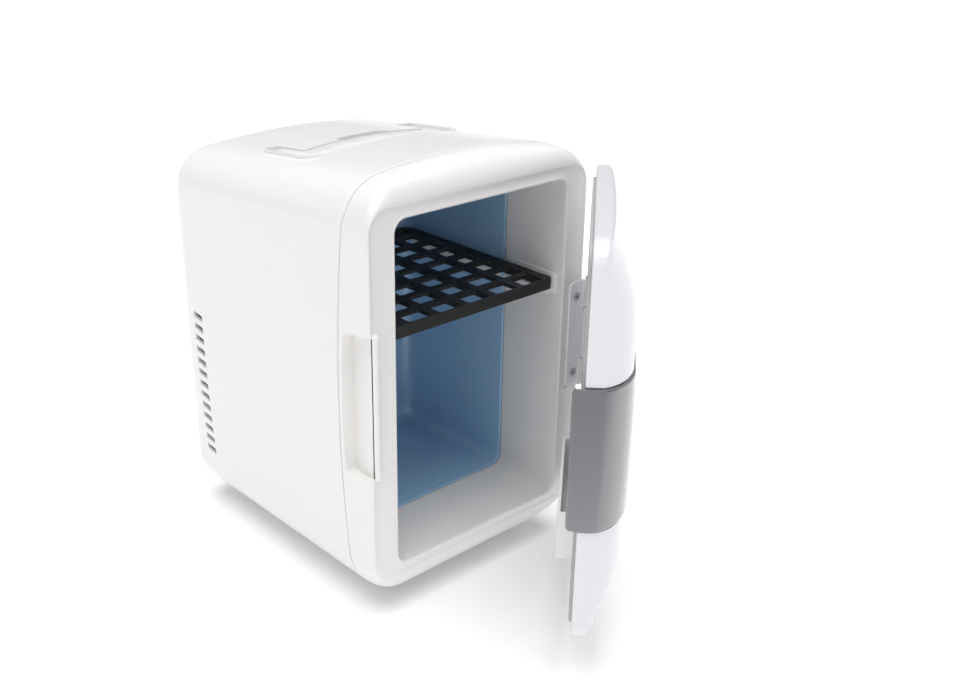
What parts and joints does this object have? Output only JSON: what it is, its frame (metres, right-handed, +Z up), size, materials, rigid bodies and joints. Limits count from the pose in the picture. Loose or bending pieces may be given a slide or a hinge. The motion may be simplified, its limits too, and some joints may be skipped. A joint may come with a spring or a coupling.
{
  "type": "mini fridge",
  "caption": "Compact thermoelectric mini fridge with hinged pillow door, latch handle, grid shelf, door bin, fold-down carry handle and rear cooling unit.",
  "frame": {"origin": "centre of the cabinet's footprint, on the plane that the undersides of the four feet stand on", "axes": "+Z up, the cabinet's front faces -Y, +X is the hinge side"},
  "size_m": [0.1838, 0.3368, 0.2702],
  "materials": {
    "shell_white": "glossy warm white injection-moulded ABS",
    "liner_white": "satin off-white moulded plastic",
    "door_white": "glossy cool white moulded plastic",
    "cover_white": "fine-textured white plastic",
    "blue_film": "aluminium tub under slate blue protective film",
    "black_shelf": "matte black moulded plastic",
    "handle_grey": "glossy mid grey plastic",
    "hinge_white": "smooth lavender white plastic",
    "steel": "zinc-plated steel",
    "aluminium": "extruded aluminium",
    "black_plastic": "black moulded plastic",
    "foam": "rigid insulating foam",
    "gasket": "soft grey vinyl seal",
    "seal_black": "black closed-cell gasket",
    "ceramic": "white alumina ceramic",
    "board_green": "glass-epoxy circuit board",
    "board_parts": "varnished electrical parts",
    "brass_pin": "plated contact pins",
    "foot_rubber": "translucent grey rubber",
    "led_green": "green tinted lens",
    "led_red": "red tinted lens"
  },
  "bodies": {
    "cabinet": {"front_frame": "shell_white", "rear_shell": "shell_white", "rear_cover": "cover_white", "front_liner": "liner_white", "cold_tub": "blue_film", "cabinet_foam": "foam", "shelf_rails": "liner_white", "tub_seal": "seal_black", "cold_block": "aluminium", "peltier": "ceramic", "peltier_seal": "seal_black", "heatsink": "aluminium", "heatsink_screws": "steel", "fan_frame": "black_plastic", "fan_screws": "steel", "power_board": "board_green", "power_parts": "board_parts", "ac_inlet": "black_plastic", "ac_pins": "brass_pin", "dc_socket": "black_plastic", "switch_housing": "black_plastic", "led_cool": "led_green", "led_warm": "led_red", "cover_screws": "steel", "foot_front_left": "foot_rubber", "foot_front_right": "foot_rubber", "foot_rear_left": "foot_rubber", "foot_rear_right": "foot_rubber", "foot_screws": "steel", "handle_pins": "steel", "hinge_leaf_body": "hinge_white", "hinge_screws_body": "steel", "hinge_pin": "steel"},
    "door": {"door_shell": "door_white", "door_liner": "liner_white", "door_foam": "foam", "door_gasket": "gasket", "hinge_leaf_door": "hinge_white", "hinge_screws_door": "steel", "latch_pin": "steel", "latch_spring": "steel"},
    "shelf": {"shelf": "black_shelf"},
    "bin": {"door_bin": "liner_white"},
    "latch": {"latch_handle": "handle_grey"},
    "handle": {"carry_handle": "shell_white"},
    "fan": {"fan_rotor": "black_plastic"},
    "switch": {"mode_switch": "black_plastic"}
  },
  "joints": [
    {"name": "door_hinge", "type": "hinge", "parent": "cabinet", "child": "door", "pos_m": [0.089, -0.10225, 0.142], "axis": [0, 0, 1], "range_deg": [-40.8, 109.2]},
    {"name": "shelf_slide", "type": "slide", "parent": "cabinet", "child": "shelf", "axis": [0, -1, 0], "range_m": [0, 0.025]},
    {"name": "bin_pull", "type": "slide", "parent": "door", "child": "bin", "axis": [-0.6534, 0.757, 0], "range_m": [0, 0.04]},
    {"name": "latch_rock", "type": "hinge", "parent": "door", "child": "latch", "pos_m": [-0.02266, -0.22235, 0.142], "axis": [0, 0, 1], "range_deg": [0, 7], "stiffness_Nm_per_rad": 0.4, "springref_deg": -2.86},
    {"name": "handle_fold", "type": "hinge", "parent": "cabinet", "child": "handle", "pos_m": [0, 0.02939, 0.25346], "axis": [-1, 0, 0], "range_deg": [0, 95]},
    {"name": "fan_spin", "type": "hinge", "parent": "cabinet", "child": "fan", "pos_m": [0, 0.092, 0.14], "axis": [0, 1, 0], "continuous": true},
    {"name": "switch_rock", "type": "hinge", "parent": "cabinet", "child": "switch", "pos_m": [0.033, 0.1036, 0.051], "axis": [1, 0, 0], "range_deg": [-12, 12]}
  ]
}
